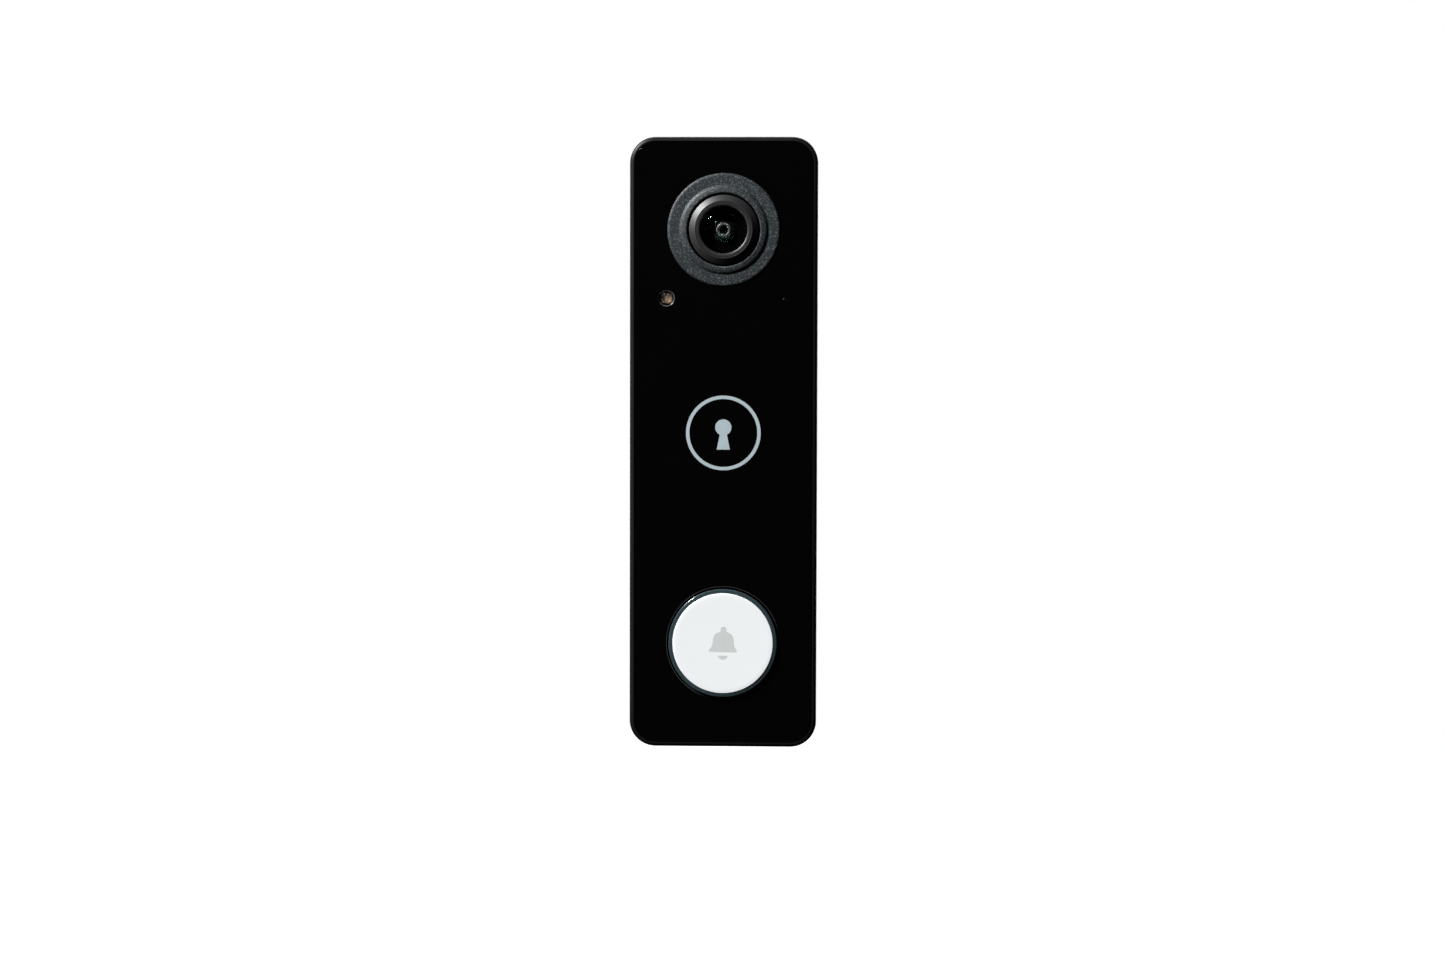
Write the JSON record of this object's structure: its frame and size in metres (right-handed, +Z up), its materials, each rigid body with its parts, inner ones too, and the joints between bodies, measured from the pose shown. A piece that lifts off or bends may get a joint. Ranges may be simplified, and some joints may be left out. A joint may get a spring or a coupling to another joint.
{
  "type": "video doorbell",
  "caption": "Slim wired video doorbell with a round camera at the top and a round lit push button at the bottom, hooked on a wall plate.",
  "frame": {"origin": "middle of the wall plate's back face, on the wall plane", "axes": "+Z up, +X to the right of a person facing the doorbell, +Y into the wall, so the front faces -Y"},
  "size_m": [0.044, 0.027, 0.143],
  "materials": {
    "matte_black_case": "fine moulded texture, satin matte",
    "gloss_black_panel": "high gloss",
    "textured_grey_bezel": "spark-eroded texture with a faint sparkle",
    "satin_black_barrel": "satin",
    "grey_stop": "satin",
    "clear_glass": "polished and anti-reflection coated",
    "clear_window": "clear polycarbonate, polished",
    "white_button": "semi-gloss opal white",
    "smoked_light_ring": "smoked clear polycarbonate, polished",
    "white_plastic": "satin",
    "black_rubber": "matte",
    "grey_silicone": "satin",
    "circuit_board": "green solder mask over glass epoxy",
    "black_component": "matte moulding",
    "gold_sensor": "gold-plated chip",
    "bright_steel": "nickel-plated",
    "blackened_steel": "black oxide",
    "brass_terminal": "machined",
    "plain_aluminium": "rolled, plain",
    "amber_flex": "amber polyimide film",
    "speaker_fabric": "fine woven mesh"
  },
  "bodies": {
    "wall_plate": {"wall_plate": "matte_black_case"},
    "doorbell_unit": {"front_housing": "matte_black_case", "front_panel": "gloss_black_panel", "housing_gasket": "black_rubber", "rear_cover": "matte_black_case", "case_screw_1": "bright_steel", "case_screw_2": "bright_steel", "case_screw_3": "bright_steel", "case_screw_4": "bright_steel", "terminal_screw_left": "brass_terminal", "terminal_screw_right": "brass_terminal", "terminal_nut_left": "brass_terminal", "terminal_nut_right": "brass_terminal", "camera_bezel": "textured_grey_bezel", "lens_seal": "black_rubber", "lens_barrel": "satin_black_barrel", "lens_retaining_ring": "satin_black_barrel", "front_lens": "clear_glass", "aperture_stop": "grey_stop", "middle_lens": "clear_glass", "rear_lens": "clear_glass", "lens_holder": "black_component", "ir_cut_filter": "clear_glass", "image_sensor": "black_component", "camera_board": "circuit_board", "camera_flex_cable": "amber_flex", "front_board": "circuit_board", "ir_led_left": "white_plastic", "ir_led_right": "white_plastic", "sensor_riser": "black_component", "light_sensor": "gold_sensor", "microphone": "bright_steel", "sensor_window": "clear_window", "microphone_gasket": "black_rubber", "board_header": "black_component", "button_seal": "grey_silicone", "tact_switch": "black_component", "button_board": "circuit_board", "button_header": "black_component", "ring_led_left": "white_plastic", "ring_led_right": "white_plastic", "speaker_frame": "black_component", "speaker_diaphragm": "speaker_fabric", "speaker_magnet": "bright_steel", "speaker_gasket": "black_rubber", "acoustic_mesh": "speaker_fabric", "main_board": "circuit_board", "wifi_shield": "bright_steel", "processor": "black_component", "power_inductor": "black_component", "thermal_pad": "grey_silicone", "heat_spreader": "plain_aluminium", "storage_capacitor": "plain_aluminium", "wifi_antenna": "amber_flex"},
    "button": {"button_face": "white_button", "button_light_ring": "smoked_light_ring", "button_carrier": "matte_black_case", "switch_plunger": "white_plastic"},
    "security_screw": {"security_screw": "blackened_steel"}
  },
  "joints": [
    {"name": "unit_tilt", "type": "hinge", "parent": "wall_plate", "child": "doorbell_unit", "pos_m": [0, -0.0046, 0.062], "axis": [-1, 0, 0], "range_deg": [0, 10]},
    {"name": "button_press", "type": "slide", "parent": "doorbell_unit", "child": "button", "axis": [0, 1, 0], "range_m": [0, 0.0006], "stiffness_N_per_m": 2500, "springref_m": -0.0002},
    {"name": "security_screw_travel", "type": "slide", "parent": "doorbell_unit", "child": "security_screw", "axis": [0, 0, -1], "range_m": [0, 0.003]}
  ]
}
